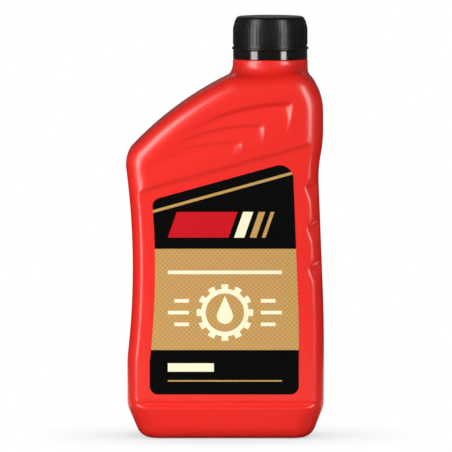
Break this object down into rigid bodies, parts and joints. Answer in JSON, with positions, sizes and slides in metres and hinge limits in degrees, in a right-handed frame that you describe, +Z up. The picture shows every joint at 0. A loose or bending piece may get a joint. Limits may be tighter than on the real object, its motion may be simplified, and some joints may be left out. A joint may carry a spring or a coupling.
{
  "type": "motor oil bottle",
  "caption": "Flat-sided oil bottle with an offset neck, a sloped shoulder with swept flutes, a sunk label panel and a ribbed screw cap that leaves its tamper band behind; stores and pours oil.",
  "frame": {"origin": "middle of the bottle's outline on the surface it stands on", "axes": "+Z up, the label faces -Y, and the neck stands towards +X"},
  "size_m": [0.1077, 0.058, 0.2291],
  "materials": {
    "red_hdpe": "satin blown polyethylene",
    "amber_oil": "clear amber liquid",
    "label_film": "printed film in black and gold",
    "black_band": "glossy",
    "black_cap": "satin moulded",
    "white_liner": "foamed disc"
  },
  "bodies": {
    "bottle": {"bottle": "red_hdpe", "oil": "amber_oil", "front_label": "label_film", "tamper_band": "black_band"},
    "liner": {"cap_liner": "white_liner"},
    "cap": {"cap": "black_cap"}
  },
  "joints": [
    {"name": "cap_lift", "type": "slide", "parent": "bottle", "child": "liner", "axis": [0, 0, 1], "range_m": [0, 0.019]},
    {"name": "cap_turn", "type": "hinge", "parent": "liner", "child": "cap", "pos_m": [0.0247, 0, 0.22], "axis": [0, 0, 1], "range_deg": [0, 810]}
  ],
  "couplings": [
    {"joint": "cap_lift", "follows": "cap_turn", "m_per_rad": 0.0013369}
  ]
}
